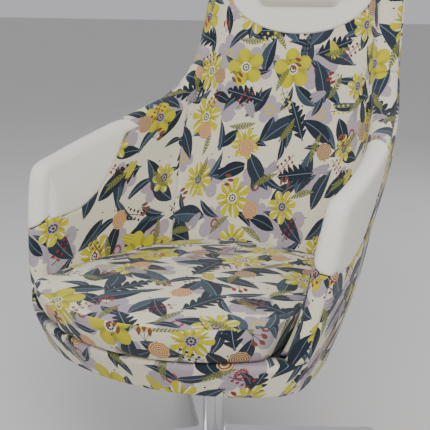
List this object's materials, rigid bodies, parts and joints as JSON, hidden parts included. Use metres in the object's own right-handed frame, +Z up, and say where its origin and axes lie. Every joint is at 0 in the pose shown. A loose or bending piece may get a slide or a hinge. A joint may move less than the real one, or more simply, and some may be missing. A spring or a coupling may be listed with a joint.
{
  "type": "swivel armchair",
  "caption": "Upholstered swivel armchair with a high curved back, head panel with neck roll, wrap-round arms and loose cushion on a steel column and star base.",
  "frame": {"origin": "point on the floor under the swivel axis", "axes": "+Z up, the sitter faces -Y, +X to the right seen from the front"},
  "size_m": [0.7386, 0.8934, 1.158],
  "materials": {
    "polished_aluminium": "polished",
    "chrome_steel": "bright",
    "black_plastic": "matte",
    "grey_nylon": "matte",
    "bearing_steel": "ground",
    "black_steel": "satin",
    "zinc_steel": "zinc plated",
    "plywood": "raw",
    "dust_cloth": "nonwoven",
    "frame_steel": "satin",
    "webbing": "woven",
    "foam": "foam",
    "printed_fabric": "printed weave",
    "cream_leather": "semi-gloss fine grain"
  },
  "bodies": {
    "base": {"base_star": "polished_aluminium", "rear_right_glide": "black_plastic", "rear_left_glide": "black_plastic", "front_left_glide": "black_plastic", "front_right_glide": "black_plastic", "hub_plug": "black_plastic", "column_tube": "chrome_steel", "lower_bush": "grey_nylon", "upper_bush": "grey_nylon", "lower_race": "bearing_steel", "bearing_balls": "bearing_steel", "ball_cage": "grey_nylon"},
    "seat": {"upper_race": "bearing_steel", "spindle": "bearing_steel", "spindle_washer": "bearing_steel", "retaining_ring": "bearing_steel", "seat_plate": "black_steel", "plate_bolts": "zinc_steel", "tee_nuts": "zinc_steel", "seat_board": "plywood", "dust_cover": "dust_cloth", "seat_ring": "frame_steel", "left_upright": "frame_steel", "right_upright": "frame_steel", "left_arm_tube": "frame_steel", "right_arm_tube": "frame_steel", "top_rail": "frame_steel", "cross_rail": "frame_steel", "seat_straps": "webbing", "cross_straps": "webbing", "deck_pad": "foam", "base_pad": "foam", "back_pad": "printed_fabric", "left_arm_pad": "printed_fabric", "right_arm_pad": "printed_fabric", "outer_cover": "printed_fabric", "left_arm_cap": "cream_leather", "right_arm_cap": "cream_leather", "head_panel": "cream_leather", "neck_roll": "cream_leather", "seat_cushion": "printed_fabric"}
  },
  "joints": [
    {"name": "seat_swivel", "type": "hinge", "parent": "base", "child": "seat", "pos_m": [0, 0, 0.2565], "axis": [0, 0, 1], "continuous": true}
  ]
}
